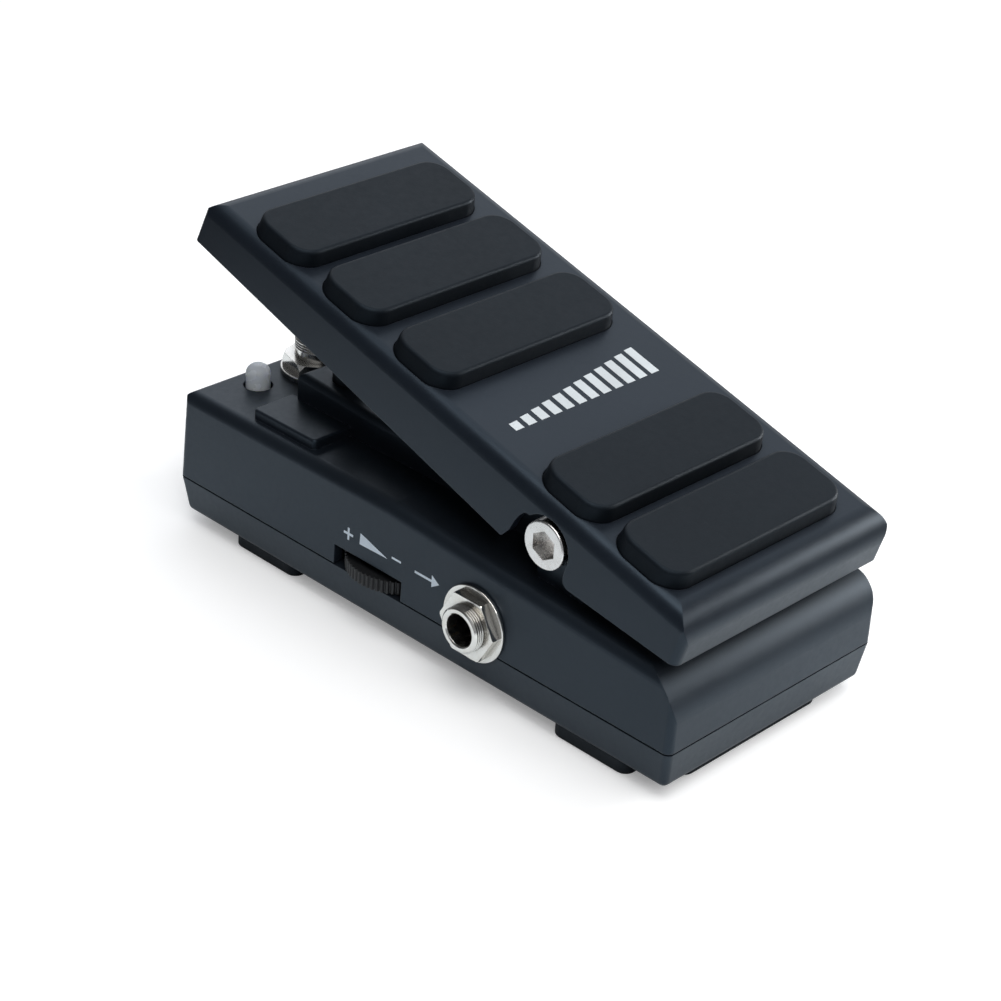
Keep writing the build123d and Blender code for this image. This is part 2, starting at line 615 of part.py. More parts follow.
def thumbwheel_screw():
    screw = cyl_z(0, 0, WHEEL_Z1, WHEEL_Z1 + 0.9, 1.7)
    screw += cyl_z(0, 0, WHEEL_Z1 - 1.8, WHEEL_Z1 + 0.2, 0.7)
    screw -= box(-1.2, 1.2, -0.2, 0.2, WHEEL_Z1 + 0.4, WHEEL_Z1 + 2)
    return Pos(WHEEL_X, WHEEL_Y, 0) * screw


def trimmer_body():
    body = box(-4.6, 4.6, -4.6, 4.6, PCB_TOP, 10.8) - cyl_z(0, 0, 9.7, 13, 1.56)
    return Pos(WHEEL_X, WHEEL_Y, 0) * body


# ------------------------------------------------------------- circuit board
CAPACITORS = [(14.0, 20.0, 2.5, 8.0), (14.0, 28.0, 2.5, 8.0),
              (5.0, 32.0, 3.15, 9.5)]      # x, y, radius, height


def circuit_board():
    board = box(-23.8, 23.8, -48.0, 46.0, PCB_Z0, PCB_TOP)
    board += box(-18.0, 18.0, 45.0, 61.0, PCB_Z0, PCB_TOP)
    for x, y in BOARD_SCREWS:
        board -= cyl_z(x, y, 0, 20, 1.15)
    return board


def board_screw(x, y):
    screw = cyl_z(x, y, PCB_TOP, PCB_TOP + 1.2, 1.9) + cyl_z(x, y, 5.2, PCB_TOP + 0.2, 0.98)
    return cross_recess(screw, x, y, PCB_TOP + 0.6, PCB_TOP + 2, 1.2, 0.25)


def buffer_chip():
    pitch = 1.27
    chip = box(3.0, 8.0, 18.0, 24.2, PCB_TOP + 0.25, PCB_TOP + 2.0)
    for k in range(4):
        y = 18.8 + k * pitch
        for x0, x1 in ((1.9, 3.1), (7.9, 9.1)):
            chip += box(x0, x1, y, y + 0.45, PCB_TOP, PCB_TOP + 0.9)
    return chip


def capacitor(x, y, r, height):
    can = cyl_z(x, y, PCB_TOP, PCB_TOP + height, r)
    return fillet(edges_past(can, PCB_TOP + height - 0.1), 0.4)


# --------------------------------------------------------------- foot switch
def switch_cyl(z0, z1, r):
    """Cylinder on the axis of the foot switch."""
    return cyl_z(SWITCH_X, SWITCH_Y, z0, z1, r)


def footswitch_body():
    body = box(SWITCH_X - 6.0, SWITCH_X + 6.0, SWITCH_Y - 5.4, SWITCH_Y + 5.4,
               13.0, SWITCH_BODY_TOP)
    return body - switch_cyl(15.5, 40, PLUNGER_BORE_R)


def footswitch_bushing():
    """Threaded at its top; turned profile (radius, height)."""
    top, thread_z, thread_pitch = 37.4, 35.4, 0.55
    profile = [(PLUNGER_BORE_R, SWITCH_BODY_TOP), (SWITCH_R, SWITCH_BODY_TOP),
               (SWITCH_R, 35.3)]
    for k in range(3):
        z = thread_z + k * thread_pitch
        profile += [(SWITCH_R, z), (SWITCH_R - 0.26, z + 0.22), (SWITCH_R, z + 0.44)]
    profile += [(SWITCH_R, 37.1), (SWITCH_R - 0.35, top), (PLUNGER_BORE_R, top)]
    return Pos(SWITCH_X, SWITCH_Y, 0) * revolve(Plane.XZ * poly(profile), Axis.Z)


def footswitch_washer():
    washer = switch_cyl(CASE_TOP, SWITCH_WASHER_TOP, 8.25) - switch_cyl(20, 40, SWITCH_R + 0.1)
    return fillet(edges_past(washer, SWITCH_WASHER_TOP - 0.1), 0.2)


def footswitch_nut():
    nut = Pos(SWITCH_X, SWITCH_Y, SWITCH_WASHER_TOP) * extrude(hexagon(13.6, 14.0), amount=2.6)
    # the cone chamfers the corners
    nut = nut & (Pos(SWITCH_X, SWITCH_Y, SWITCH_WASHER_TOP + 0.5) * Cone(8.9, 7.35, 4.2))
    return nut - switch_cyl(20, 40, SWITCH_R + 0.02)


def footswitch_plunger():
    plunger = switch_cyl(18.0, PLUNGER_TOP, PLUNGER_R)
    return fillet(edges_past(plunger, PLUNGER_TOP - 0.1), 1.0)


def footswitch_lug(dx):
    x = SWITCH_X + dx
    return box(x - 0.9, x + 0.9, SWITCH_Y - 0.3, SWITCH_Y + 0.3, PCB_TOP, 13.0)


# ------------------------------------------------------------ indicator lamp
def led_lens():
    lens = cyl_z(LAMP_X, LAMP_Y, LAMP_FOOT + 0.5, LAMP_TOP, LAMP_R)
    lens = fillet(edges_past(lens, LAMP_TOP - 0.1), 2.0)
    return lens + cyl_z(LAMP_X, LAMP_Y, LAMP_FOOT, LAMP_FOOT + 1.0, 3.6)


# -------------------------------------------------------------- plug sockets
# Drawn on the X axis, opening toward +X.
def jack_sleeve():
    """Threaded tube; turned profile (distance out, radius)."""
    thread_x, thread_pitch, chamfer = NUT_OUT + 0.05, 0.5, 0.36
    profile = [(JACK_BODY_OUT, JACK_BORE_R), (JACK_BODY_OUT, JACK_R)]
    for k in range(3):
        x = thread_x + k * thread_pitch
        profile += [(x, JACK_R), (x + 0.21, JACK_R - 0.34), (x + 0.42, JACK_R)]
    profile += [(JACK_TIP - chamfer, JACK_R), (JACK_TIP, JACK_R - chamfer),
                (JACK_TIP, JACK_BORE_R + 0.25), (JACK_TIP - 0.25, JACK_BORE_R)]
    return revolve(Plane.XY * poly(profile), Axis.X)


def jack_body():
    body = box(JACK_BODY_IN, JACK_BODY_OUT, -6.0, 6.0, -5.4, 6.0)
    body -= box(JACK_BODY_IN + 1.2, JACK_BODY_OUT - 1.4, -4.8, 4.8, -4.6, 4.8)
    return body - cyl_x(0, 0, JACK_BODY_OUT - 3, 40, 3.4)


def jack_washer():
    washer = cyl_x(0, 0, WIDTH / 2 + 0.02, NUT_IN, WASHER_R)
    washer = fillet(edges_past(washer, NUT_IN - 0.05, "X"), 0.2)
    return washer - cyl_x(0, 0, 20, 40, JACK_R + 0.1)


def jack_nut():
    nut = hex_x(0, 0, NUT_IN, NUT_OUT, 11.8)
    cone = Pos(NUT_IN, 0, 0) * (Rot(0, 90, 0) * Pos(0, 0, 0.95) * Cone(7.35, 6.6, 1.9))
    return (nut & cone) - cyl_x(0, 0, 20, 40, JACK_R + 0.02)


# Side outlines (x, z) of the springs
TIP_SPRING = [(22.0, 4.2), (8.6, 4.2), (7.4, 3.55), (6.4, 4.3),
              (6.4, 4.7), (7.6, 4.0), (8.8, 4.65), (22.0, 4.65)]
BARREL_SPRING = [(22.0, -4.55), (13.0, -4.55), (13.0, -4.1), (22.0, -4.1)]
JACK_PINS = [(21.0, -3.5), (21.0, 3.5), (9.0, 0.0)]      # x, y


def jack_contacts():
    """Spring for the plug tip, spring for its barrel, board pins."""
    width = 2.8
    springs = [Pos(0, width / 2, 0) * extrude(Plane.XZ * poly(outline), amount=width)
               for outline in (TIP_SPRING, BARREL_SPRING)]
    pins = [box(x - 0.5, x + 0.5, y - 0.2, y + 0.2, PCB_TOP - JACK_Z, -5.4)
            for x, y in JACK_PINS]
    return springs + pins


def save_jack(name, side):
    def place(shape):
        return Pos(0, JACK_Y, JACK_Z) * (shape if side > 0 else mirror_x(shape))

    save(name + "_sleeve", place(jack_sleeve()))
    save(name + "_body", place(jack_body()))
    save(name + "_washer", place(jack_washer()))
    save(name + "_nut", place(jack_nut()))
    save(name + "_contacts", *map(place, jack_contacts()))


# -------------------------------------------------------------- power socket
def power_socket():
    socket = box(POWER_X - 4.5, POWER_X + 4.5, 50.5, 61.6, 12.5, 22.5)
    socket += cyl_y(POWER_X, POWER_Z, 61.0, 63.9, 4.0)
    return socket - cyl_y(POWER_X, POWER_Z, 53.0, 70, 2.8)


def power_pin():
    pin = cyl_y(POWER_X, POWER_Z, 53.0, 62.6, 1.0)
    return fillet(edges_past(pin, 62.5, "Y"), 0.5)


# -------------------------------------------------------------------- pieces
os.makedirs("parts", exist_ok=True)

save("upper_case", upper_case())
save("bottom_cover", bottom_cover())
save("cover_screws", *(cover_screw(x, y) for x, y in COVER_SCREWS))
save("toe_foot", foot(33.0, 57.2, 5.8, 26.2))
save("heel_foot", foot(-36.6, -62.0, 7.0, 26.6))

save("treadle", on_treadle(treadle()))
for number, pad_y in enumerate(PAD_Y, 1):
    save(f"tread_pad_{number}", on_treadle(tread_pad(pad_y)))

save("pivot_axle", pivot_axle())
save("pivot_bolts", *map(pivot_bolt, SIDES))
save("pivot_bushings", *(on_treadle(pivot_bushing(side)) for side in SIDES))

save("heel_bumpers", *(stop(side * HEEL_STOP_X, HEEL_STOP_Y, HEEL_STOP_SEAT, TILT)
                       for side in SIDES))
save("toe_bumpers", *(stop(side * TOE_STOP_X, TOE_STOP_Y, TOE_STOP_SEAT, TILT - TRAVEL)
                      for side in SIDES))
save("striker_pad", on_treadle(cyl_z(0, 87.8, 5.27, PLATE_UNDER, 5.0)))

save("pot_pinion", pot_pinion())
save("sector_gear", on_treadle(sector_gear()))
save("sector_screws", *(on_treadle(sector_screw(side)) for side in SIDES))
save("pot_body", pot_body())
save("pot_bushing", pot_cyl(2.3, POT_WALL_X1, POT_BUSH_R) - pot_cyl(0, 9, 3.05))
save("pot_nut", pot_nut())
save("pot_shaft", pot_cyl(-2.6, 7.6, 2.98))
save("pot_leads", *map(pot_lead, (-5.0, 0.0, 5.0)))

save("thumbwheel", thumbwheel())
save("thumbwheel_screw", thumbwheel_screw())
save("trimmer_body", trimmer_body())

save("circuit_board", circuit_board())
save("board_screws", *(board_screw(x, y) for x, y in BOARD_SCREWS))
save("buffer_chip", buffer_chip())
save("capacitors", *(capacitor(*row) for row in CAPACITORS))

save("footswitch_body", footswitch_body())
save("footswitch_bushing", footswitch_bushing())
save("footswitch_washer", footswitch_washer())
save("footswitch_nut", footswitch_nut())
save("footswitch_plunger", footswitch_plunger())
save("footswitch_lugs", *map(footswitch_lug, (-4.2, 0.0, 4.2)))

save("led_lens", led_lens())
save("led_leads", *(cyl_z(LAMP_X + dx, LAMP_Y, PCB_TOP, LAMP_FOOT, 0.28)
                    for dx in (-1.27, 1.27)))

save_jack("output", -1)
save_jack("input", 1)

save("power_socket", power_socket())
save("power_pin", power_pin())
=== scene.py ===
"""A rocker pedal: looks for its CAD pieces, printed marks, a pale floor, lights and a camera.

The pedal is long in Y, with its toe toward +Y, and stands on z = 0. The treadle rises
toward +Y. The prints on the upper case are on its -X wall. Lengths are in metres unless a
name ends in _MM.
"""
import math
import bpy
import bmesh
from mathutils import Vector, Matrix


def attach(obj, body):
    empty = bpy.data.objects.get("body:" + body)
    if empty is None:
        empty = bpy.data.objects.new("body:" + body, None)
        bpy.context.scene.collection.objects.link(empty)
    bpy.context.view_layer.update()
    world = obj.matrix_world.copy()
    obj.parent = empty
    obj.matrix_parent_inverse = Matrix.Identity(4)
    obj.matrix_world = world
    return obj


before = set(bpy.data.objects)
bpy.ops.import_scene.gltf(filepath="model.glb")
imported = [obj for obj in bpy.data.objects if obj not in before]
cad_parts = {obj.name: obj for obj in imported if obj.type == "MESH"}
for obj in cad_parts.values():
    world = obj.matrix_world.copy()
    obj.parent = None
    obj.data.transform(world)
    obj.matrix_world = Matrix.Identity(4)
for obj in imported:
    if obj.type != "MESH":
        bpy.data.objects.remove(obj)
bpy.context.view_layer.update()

MM = 0.001

# -X wall of the upper case, leaning inward as it rises
WALL_X = 0.0286             # distance from x = 0 at WALL_BASE_Z
WALL_BASE_Z = 0.01095
WALL_DRAFT = math.tan(math.radians(1.2))

# treadle top, in the tilted frame of its pivot
TREADLE_TILT = math.radians(15.6)
TREADLE_PIVOT = Vector((0, -0.03328, 0.03809))
TREADLE_TOP = 0.00872       # height of the face above the pivot

# printed marks
PRINT_RISE = 0.00003        # how far a print stands above its face
PRINT_SINK = 0.00006        # how far it reaches below

PLUS_CENTRE_MM = (15.6, 18.9)
PLUS_ARM_MM = 1.28          # centre to the end of an arm
PLUS_HALF_LINE_MM = 0.25
WEDGE_MM = [(5.0, 18.25), (12.5, 18.05), (12.35, 20.45)]    # y, z; tall toward the plus
MINUS_Y_MM = (1.3, 3.75)
MINUS_Z_MM = (18.85, 19.25)

ARROW_CENTRE_MM = (-5.5, 18.85)
ARROW_TIP_MM = 3.3          # centre to tip, toward -Y
ARROW_NECK_MM = 1.35        # centre to the back of the head
ARROW_TAIL_MM = 3.1         # centre to the +Y end
ARROW_HALF_HEAD_MM = 1.25
ARROW_HALF_LINE_MM = 0.24

BAR_COUNT = 12
BAR_FIRST_X_MM = -20.2
BAR_PITCH_MM = 3.28
BAR_WIDTH_MM = 2.1
BAR_START_MM = 18.6         # along the treadle from its pivot
BAR_LENGTH_MM = 2.0         # the first bar
BAR_GROWTH_MM = 0.50        # added by each next bar
BAR_SLANT_MM = 0.1          # extra length at the +X corner

# stage
FLOOR_HALF = 3.0
PAINTED_POOL_HALF_X = 0.028    # block from which the painted light on the floor, seen only in reflections, fades to painted shade
PAINTED_POOL_HALF_Y = 0.065
PAINTED_POOL_FADE = (0.030, 0.170)     # distances where the fade starts and ends


# ------------------------------------------------------------------ node tools
class Nodes:
    """Short calls for building one node tree."""

    def __init__(self, tree):
        self.tree = tree
        tree.nodes.clear()
        self.coords = self.add("ShaderNodeTexCoord").outputs

    def add(self, kind, inputs=None, **settings):
        """Make a node; each input is a value to set or a socket to link from."""
        node = self.tree.nodes.new(kind)
        for key, value in settings.items():
            setattr(node, key, value)
        for key, value in (inputs or {}).items():
            self.feed(node.inputs[key], value)
        return node

    def feed(self, socket, value):
        if isinstance(value, bpy.types.NodeSocket):
            self.tree.links.new(value, socket)
        else:
            socket.default_value = value

    def calc(self, operation, a, b=0.0, *more):
        node = self.add("ShaderNodeMath", operation=operation)
        for socket, value in zip(node.inputs, (a, b, *more)):
            self.feed(socket, value)
        return node.outputs[0]

    def times(self, a, b):
        return self.calc("MULTIPLY", a, b)

    def plus(self, a, b):
        return self.calc("ADD", a, b)

    def dot(self, a, b):
        node = self.add("ShaderNodeVectorMath", {0: a, 1: b}, operation="DOT_PRODUCT")
        return node.outputs["Value"]

    def remap(self, value, source, target=(0.0, 1.0), curve="LINEAR"):
        return self.add("ShaderNodeMapRange", {
            "Value": value,
            "From Min": source[0], "From Max": source[1],
            "To Min": target[0], "To Max": target[1],
        }, interpolation_type=curve).outputs[0]

    def spread(self, noise, low, high):
        """Carry the middle range of a noise to low..high."""
        return self.remap(noise, source=(0.3, 0.7), target=(low, high))

    def mix(self, factor, a, b):
        return self.add("ShaderNodeMix", {0: factor, 6: a, 7: b}, data_type="RGBA").outputs[2]

    def cover(self, colour, mask, strength, top):
        """Lay the top colour over another where the mask is bright."""
        return self.mix(self.times(mask, strength), colour, top)

    def cloudy(self, noise, base, low, high):
        """The base colour, drifting between two brightness factors."""
        return self.mix(self.spread(noise, 0.0, 1.0), shade(base, low), shade(base, high))

    def ramp(self, value, low, high, start=(0, 0, 0, 1), end=(1, 1, 1, 1)):
        node = self.add("ShaderNodeValToRGB", {0: value})
        stops = node.color_ramp.elements
        stops[0].position = low
        stops[0].color = start
        stops[1].position = high
        stops[1].color = end
        return node.outputs[0]

    def stretched(self, scale, rotation=(0, 0, 0)):
        return self.add("ShaderNodeMapping", {
            "Scale": scale, "Rotation": rotation, "Vector": self.coords["Object"],
        }).outputs[0]

    def noise(self, scale, detail, roughness, vector=None, distortion=0.0):
        if vector is None:
            vector = self.coords["Object"]
        return self.add("ShaderNodeTexNoise", {
            "Scale": scale, "Detail": detail, "Roughness": roughness,
            "Distortion": distortion, "Vector": vector,
        }).outputs["Fac"]

    def rounded_normal(self, radius):
        return self.add("ShaderNodeBevel", {"Radius": radius}, samples=4).outputs[0]

    def bump(self, height, strength, distance, edge_radius=None):
        inputs = {"Height": height, "Strength": strength, "Distance": distance}
        if edge_radius is not None:
            inputs["Normal"] = self.rounded_normal(edge_radius)
        return self.add("ShaderNodeBump", inputs).outputs[0]

    def hollow(self, distance, occlusion, deep, exposed):
        """Down in a gap, where little light reaches, the value goes from exposed to deep."""
        node = self.add("ShaderNodeAmbientOcclusion", {"Distance": distance}, samples=8)
        return self.remap(node.outputs["AO"], source=occlusion, target=(deep, exposed))

    def wear(self, radius):
        """Bright close to a sharp edge, where the rounded normal leans from the true one."""
        true_normal = self.add("ShaderNodeNewGeometry").outputs["Normal"]
        lean = self.calc("SUBTRACT", 1.0, self.dot(self.rounded_normal(radius), true_normal))
        return self.remap(lean, source=(0.02, 0.12))


class Material(Nodes):
    def __init__(self, name):
        self.material = bpy.data.materials.new(name)
        self.material.use_nodes = True
        super().__init__(self.material.node_tree)

    def surface(self, **inputs):
        """Close the tree; underscores stand for spaces in the shader's input names."""
        named = {key.replace("_", " "): value for key, value in inputs.items()}
        shader = self.add("ShaderNodeBsdfPrincipled", named)
        self.add("ShaderNodeOutputMaterial", {"Surface": shader.outputs[0]})
        return self.material


def rgba(red, green, blue):
    return (red, green, blue, 1.0)


def shade(base, factor):
    return rgba(*[channel * factor for channel in base])


# ------------------------------------------------------------------- materials
COOL_TINT = rgba(0.62, 0.81, 1.0)   # highlights on paint and rubber


def painted(name, base, roughness, ior):
    """Powder-coated metal: fine orange peel, cloudy tone, faintly rubbed sharp edges."""
    m = Material(name)
    fine = m.noise(scale=2600.0, detail=3.0, roughness=0.6)
    peel = m.noise(scale=850.0, detail=3.0, roughness=0.55)
    cloud = m.noise(scale=30.0, detail=4.0, roughness=0.55)

    colour = m.cloudy(cloud, base, low=0.86, high=1.14)
    specks = m.noise(scale=4200.0, detail=1.0, roughness=0.5)
    flecks = m.ramp(specks, low=0.66, high=0.76)
    colour = m.cover(colour, flecks, strength=0.05, top=rgba(0.10, 0.11, 0.13))
    patches = m.noise(scale=620.0, detail=5.0, roughness=0.7)
    rubbed = m.times(m.wear(radius=0.0003), m.remap(patches, source=(0.5, 0.62)))
    colour = m.cover(colour, rubbed, strength=0.30, top=rgba(0.10, 0.105, 0.115))

    gloss = m.plus(m.spread(peel, roughness - 0.03, roughness + 0.03),
                   m.spread(cloud, -0.02, 0.02))
    smear_space = m.stretched(scale=(1.0, 2.2, 2.2), rotation=(0.3, 0.2, 0.5))
    smear_noise = m.noise(scale=90.0, detail=5.0, roughness=0.7,
                          vector=smear_space, distortion=1.0)
    smears = m.ramp(smear_noise, low=0.58, high=0.72)
    relief = m.plus(m.times(fine, 0.45), peel)
    return m.surface(
        Base_Color=colour,
        Roughness=m.plus(gloss, m.times(smears, 0.05)),
        IOR=ior,
        Specular_Tint=COOL_TINT,
        Specular_IOR_Level=m.hollow(distance=0.014, occlusion=(0.20, 0.80),
                                    deep=0.15, exposed=0.5),
        Normal=m.bump(relief, strength=0.13, distance=0.00004, edge_radius=0.00025))


def rubber(name, base, roughness, grain, specular):
    """Moulded rubber: fine matt grain, a little dust and scuffing."""
    m = Material(name)
    fine = m.noise(scale=3600.0, detail=2.0, roughness=0.6)
    medium = m.noise(scale=620.0, detail=4.0, roughness=0.6)
    cloud = m.noise(scale=45.0, detail=3.0, roughness=0.5)

    colour = m.cloudy(cloud, base, low=0.85, high=1.15)
    specks = m.noise(scale=2400.0, detail=2.0, roughness=0.7)
    dust = m.ramp(specks, low=0.64, high=0.80)
    colour = m.cover(colour, dust, strength=0.05, top=rgba(0.14, 0.15, 0.17))
    scuff_space = m.stretched(scale=(4.0, 1.0, 1.0), rotation=(0, 0, 0.4))
    scuff_noise = m.noise(scale=160.0, detail=6.0, roughness=0.8,
                          vector=scuff_space, distortion=1.5)
    scuffs = m.ramp(scuff_noise, low=0.60, high=0.72)
    colour = m.cover(colour, scuffs, strength=0.03, top=rgba(0.14, 0.15, 0.16))

    relief = m.plus(fine, m.times(medium, 0.5))
    return m.surface(
        Base_Color=colour,
        Roughness=m.remap(medium, source=(0.25, 0.75),
                          target=(roughness - 0.06, roughness + 0.06)),
        IOR=1.5,
        Specular_Tint=COOL_TINT,
        Specular_IOR_Level=m.hollow(distance=0.005, occlusion=(0.35, 0.90),
                                    deep=specular * 0.3, exposed=specular),
        Normal=m.bump(relief, strength=0.24 * grain, distance=0.00005, edge_radius=0.0002))


def plated(name, base, roughness, tarnish=0.25, stretch=(1, 1, 1)):
    """Plated metal: fine marks, cloudy tarnish, painted shade in gaps, softened edges."""
    m = Material(name)
    cloud = m.noise(scale=380.0, detail=5.0, roughness=0.6)
    fine = m.noise(scale=2600.0, detail=3.0, roughness=0.6, vector=m.stretched(stretch))

    red, green, blue = base
    tarnished = rgba(red * 0.62, green * 0.56, blue * 0.46)
    colour = m.cover(rgba(*base), m.ramp(cloud, low=0.45, high=0.7), tarnish, tarnished)
    colour = m.cover(colour, m.wear(radius=0.00015), strength=0.25, top=rgba(0.95, 0.95, 0.94))
    # painted shade: the colour goes dark down in gaps and recesses where little light reaches
    painted_gap_shade = m.hollow(distance=0.003, occlusion=(0.05, 0.80), deep=0.78, exposed=0.0)
    colour = m.mix(painted_gap_shade, colour, rgba(0.045, 0.043, 0.040))
    return m.surface(
        Base_Color=colour,
        Metallic=1.0,
        Roughness=m.plus(m.spread(cloud, roughness - 0.05, roughness + 0.08),
                         m.spread(fine, -0.04, 0.05)),
        Normal=m.bump(fine, strength=0.25, distance=0.00002, edge_radius=0.00012))


def plastic(name, base, roughness):
    """Moulded plastic with paler sharp edges."""
    m = Material(name)
    fine = m.noise(scale=3000.0, detail=2.0, roughness=0.5)
    cloud = m.noise(scale=120.0, detail=4.0, roughness=0.55)
    colour = m.cloudy(cloud, base, low=0.9, high=1.1)
    pale = rgba(*[min(channel * 1.8 + 0.02, 1.0) for channel in base])
    return m.surface(
        Base_Color=m.cover(colour, m.wear(radius=0.0002), strength=0.2, top=pale),
        Roughness=m.spread(fine, roughness - 0.06, roughness + 0.06),
        Normal=m.bump(fine, strength=0.12, distance=0.00005, edge_radius=0.00015))


def solder_mask(name):
    """Green solder mask with copper tracks showing through and a weave."""
    m = Material(name)
    cells = m.add("ShaderNodeTexVoronoi",
                  {"Scale": 160.0, "Vector": m.stretched(scale=(1, 1, 0.01))},
                  feature="DISTANCE_TO_EDGE", distance="CHEBYCHEV")
    tracks = m.ramp(cells.outputs["Distance"], low=0.02, high=0.05,
                    start=rgba(1, 1, 1), end=rgba(0, 0, 0))
    weave = m.noise(scale=1500.0, detail=1.0, roughness=0.5,
                    vector=m.stretched(scale=(3, 1, 1)))
    colour = m.mix(tracks, rgba(0.012, 0.075, 0.035), rgba(0.05, 0.19, 0.085))
    return m.surface(
        Base_Color=m.mix(m.spread(weave, 0.0, 0.25), colour, rgba(0.02, 0.05, 0.03)),
        Roughness=m.spread(weave, 0.22, 0.34),
        Normal=m.bump(tracks, strength=0.3, distance=0.00004, edge_radius=0.0001))


def milky_lens(name):
    """Milky lens with painted shade: darker and bluer where it turns away from the eye."""
    m = Material(name)
    cloud = m.noise(scale=420.0, detail=3.0, roughness=0.5)
    # painted shade: toward the rim that turns away from the eye the colour goes darker and bluer
    facing = m.add("ShaderNodeLayerWeight", {"Blend": 0.35}).outputs["Facing"]
    colour = m.mix(m.spread(cloud, 0.0, 1.0), rgba(0.84, 0.89, 0.97), rgba(0.90, 0.94, 1.0))
    return m.surface(
        Base_Color=m.cover(colour, facing, strength=0.35, top=rgba(0.60, 0.67, 0.80)),
        Roughness=m.spread(cloud, 0.22, 0.32),
        Subsurface_Weight=0.6,
        Subsurface_Radius=(1.0, 1.0, 1.2),
        Subsurface_Scale=0.0016,
        Transmission_Weight=0.12,
        IOR=1.5,
        Normal=m.bump(cloud, strength=0.1, distance=0.00003, edge_radius=0.0001))


def ink(name, base):
    """Printed ink: slightly broken, a little relief."""
    m = Material(name)
    spots = m.noise(scale=1800.0, detail=4.0, roughness=0.65)
    cloud = m.noise(scale=150.0, detail=3.0, roughness=0.5)
    colour = m.cloudy(cloud, base, low=0.92, high=1.06)
    gaps = m.ramp(spots, low=0.62, high=0.74)
    return m.surface(
        Base_Color=m.cover(colour, gaps, strength=0.35, top=shade(base, 0.45)),
        Roughness=m.spread(spots, 0.42, 0.58),
        Normal=m.bump(spots, strength=0.15, distance=0.00003))


# each material and the CAD pieces that wear it
LOOKS = [
    (painted("case_paint", base=(0.0088, 0.0116, 0.0162), roughness=0.40, ior=1.46),
     "upper_case bottom_cover"),
    (painted("treadle_paint", base=(0.0078, 0.0102, 0.0148), roughness=0.36, ior=1.445),
     "treadle"),
    (rubber("pad_rubber", base=(0.0050, 0.0066, 0.0088), roughness=0.48, grain=1.0,
            specular=0.18),
     "tread_pad_1 tread_pad_2 tread_pad_3 tread_pad_4 tread_pad_5"),
    (rubber("foot_rubber", base=(0.0085, 0.0090, 0.0100), roughness=0.60, grain=1.3,
            specular=0.30),
     "toe_foot heel_foot heel_bumpers toe_bumpers striker_pad"),
    (plated("bright_nickel", base=(0.82, 0.80, 0.76), roughness=0.16),
     "output_sleeve output_nut output_washer input_sleeve input_nut input_washer "
     "footswitch_bushing footswitch_nut footswitch_washer footswitch_plunger power_pin"),
    (plated("zinc_bolt", base=(0.78, 0.76, 0.74), roughness=0.24, tarnish=0.12),
     "pivot_bolts"),
    (plated("steel_part", base=(0.58, 0.58, 0.60), roughness=0.30, stretch=(1, 1, 6)),
     "pivot_axle cover_screws board_screws sector_screws thumbwheel_screw pot_shaft "
     "pot_bushing pot_nut pot_body"),
    (plated("spring_brass", base=(0.80, 0.60, 0.28), roughness=0.25, tarnish=0.4),
     "output_contacts input_contacts pot_leads footswitch_lugs led_leads pot_pinion"),
    (plastic("black_plastic", base=(0.012, 0.0125, 0.014), roughness=0.42),
     "output_body input_body power_socket trimmer_body footswitch_body buffer_chip"),
    (plastic("wheel_plastic", base=(0.006, 0.0066, 0.0076), roughness=0.50), "thumbwheel"),
    (plastic("white_nylon", base=(0.62, 0.60, 0.54), roughness=0.40),
     "pivot_bushings sector_gear"),
    (solder_mask("board_green"), "circuit_board"),
    (plated("can_aluminium", base=(0.55, 0.56, 0.58), roughness=0.28), "capacitors"),
    (milky_lens("lamp_milky"), "led_lens"),
]
PRINT_INK = ink("print_ink", base=(0.60, 0.67, 0.74))
MOTIF_INK = ink("motif_ink", base=(0.56, 0.60, 0.62))

for material, pieces in LOOKS:
    for piece in pieces.split():
        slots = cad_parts[piece].data.materials
        slots.clear()
        slots.append(material)


# --------------------------------------------------------------- printed marks
def add_object(name, data):
    thing = bpy.data.objects.new(name, data)
    bpy.context.scene.collection.objects.link(thing)
    return thing


def mesh_object(name, bm):
    mesh = bpy.data.meshes.new(name)
    bm.normal_update()
    bm.to_mesh(mesh)
    bm.free()
    return add_object(name, mesh)


def on_wall(y, z, height):
    """A point on the -X wall of the upper case, height outward."""
    return Vector((-(WALL_X - (z - WALL_BASE_Z) * WALL_DRAFT) - height, y, z))


def on_treadle(x, along, height):
    """A point on the treadle top, measured along its slope from the pivot."""
    z = TREADLE_TOP + height
    cos, sin = math.cos(TREADLE_TILT), math.sin(TREADLE_TILT)
    return Vector((x,
                   TREADLE_PIVOT.y + along * cos - z * sin,
                   TREADLE_PIVOT.z + along * sin + z * cos))


def add_plate(bm, outline_mm, place):
    """A very thin closed plate over an outline on a face."""
    outline = [(u * MM, v * MM) for u, v in outline_mm]
    top = [bm.verts.new(place(u, v, PRINT_RISE)) for u, v in outline]
    bottom = [bm.verts.new(place(u, v, -PRINT_SINK)) for u, v in outline]
    bm.faces.new(top)
    bm.faces.new(list(reversed(bottom)))
    count = len(outline)
    for i in range(count):
        j = (i + 1) % count
        bm.faces.new((top[j], top[i], bottom[i], bottom[j]))


def add_print(name, outlines_mm, place, material, body):
    bm = bmesh.new()
    for outline_mm in outlines_mm:
        add_plate(bm, outline_mm, place)
    mark = mesh_object(name, bm)
    mark.data.materials.append(material)
    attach(mark, body)


def plus_outline():
    y, z = PLUS_CENTRE_MM
    arm, line = PLUS_ARM_MM, PLUS_HALF_LINE_MM
    return [(y - arm, z - line), (y - line, z - line), (y - line, z - arm),
            (y + line, z - arm), (y + line, z - line), (y + arm, z - line),
            (y + arm, z + line), (y + line, z + line), (y + line, z + arm),
            (y - line, z + arm), (y - line, z + line), (y - arm, z + line)]


def minus_outline():
    (y0, y1), (z0, z1) = MINUS_Y_MM, MINUS_Z_MM
    return [(y0, z0), (y1, z0), (y1, z1), (y0, z1)]


